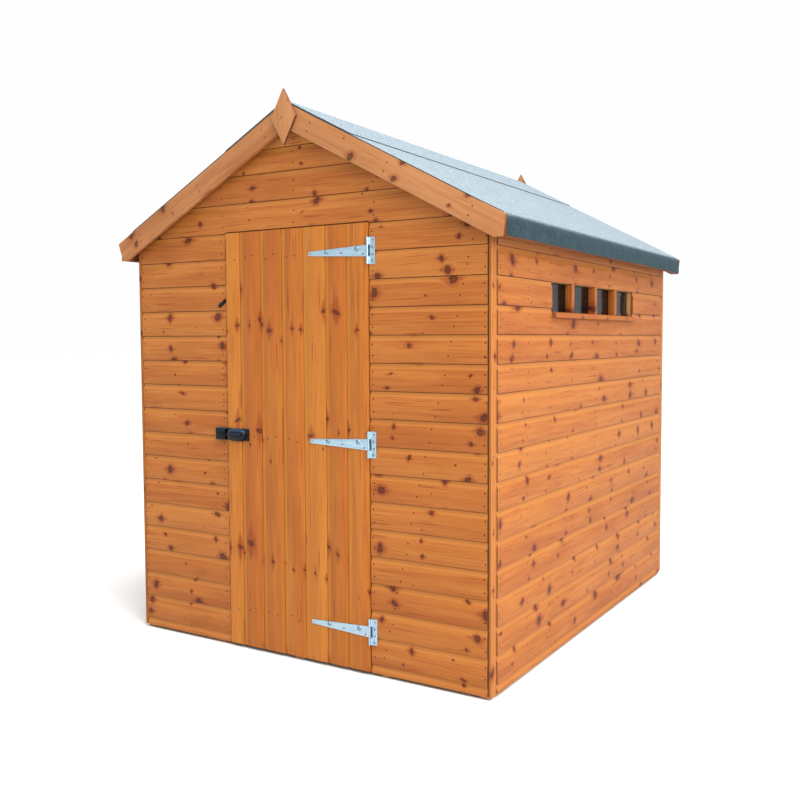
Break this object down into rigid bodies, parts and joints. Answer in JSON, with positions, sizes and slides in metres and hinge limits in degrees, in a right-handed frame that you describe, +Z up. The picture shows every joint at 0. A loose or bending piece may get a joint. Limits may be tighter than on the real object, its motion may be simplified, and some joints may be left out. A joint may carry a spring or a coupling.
{
  "type": "wooden garden shed",
  "caption": "Small timber garden shed with shiplap walls, an apex felt roof with barge boards and finials, a plank door on long strap hinges and a high slit window.",
  "frame": {"origin": "middle of the footprint at ground level", "axes": "+X towards the window wall, -Y towards the front with the door, +Y to the back, +Z up"},
  "size_m": [2.0146, 2.338, 2.405],
  "materials": {
    "timber": "sawn softwood framing and boards, dip stained light brown",
    "cladding": "planed softwood shiplap with dark knots, dip stained orange brown",
    "door_timber": "planed softwood matchboard with dark knots, dip stained orange brown",
    "glass": "clear sheet glass, dark from the unlit room behind it",
    "felt": "bitumen roofing felt faced with green-grey mineral chippings",
    "galvanised": "pressed steel, bright zinc galvanised",
    "black_lock": "black powder coat, half gloss"
  },
  "bodies": {
    "shed": {"floor_bearers": "timber", "floor_boards": "timber", "front_cladding_left": "cladding", "front_cladding_right": "cladding", "front_cladding_gable": "cladding", "front_studs": "timber", "front_rails": "timber", "back_cladding": "cladding", "back_studs": "timber", "back_rails": "timber", "gable_rafters": "timber", "left_cladding": "cladding", "left_studs": "timber", "left_rails": "timber", "right_cladding_low": "cladding", "right_cladding_high": "cladding", "right_cladding_ends": "cladding", "right_studs": "timber", "right_rails": "timber", "corner_trims": "cladding", "window_bars": "cladding", "window_glass": "glass", "window_sill": "cladding", "roof_boards_left": "timber", "roof_boards_right": "timber", "roof_purlins": "timber", "eaves_rails": "timber", "roof_felt_left": "felt", "roof_felt_right": "felt", "ridge_felt": "felt", "barge_board_front_left": "cladding", "barge_board_front_right": "cladding", "barge_board_back_left": "cladding", "barge_board_back_right": "cladding", "finial_front": "cladding", "finial_back": "cladding", "hinge_plates": "galvanised", "lock_keeper": "black_lock", "turn_bar": "black_lock"},
    "door": {"door_boards": "door_timber", "door_ledges": "timber", "door_braces": "timber", "hinge_straps": "galvanised", "lock_case": "black_lock"}
  },
  "joints": [
    {"name": "door_hinge", "type": "hinge", "parent": "shed", "child": "door", "pos_m": [0.38, -1.1205, 0.949], "axis": [0, 0, 1], "range_deg": [0, 160]}
  ]
}
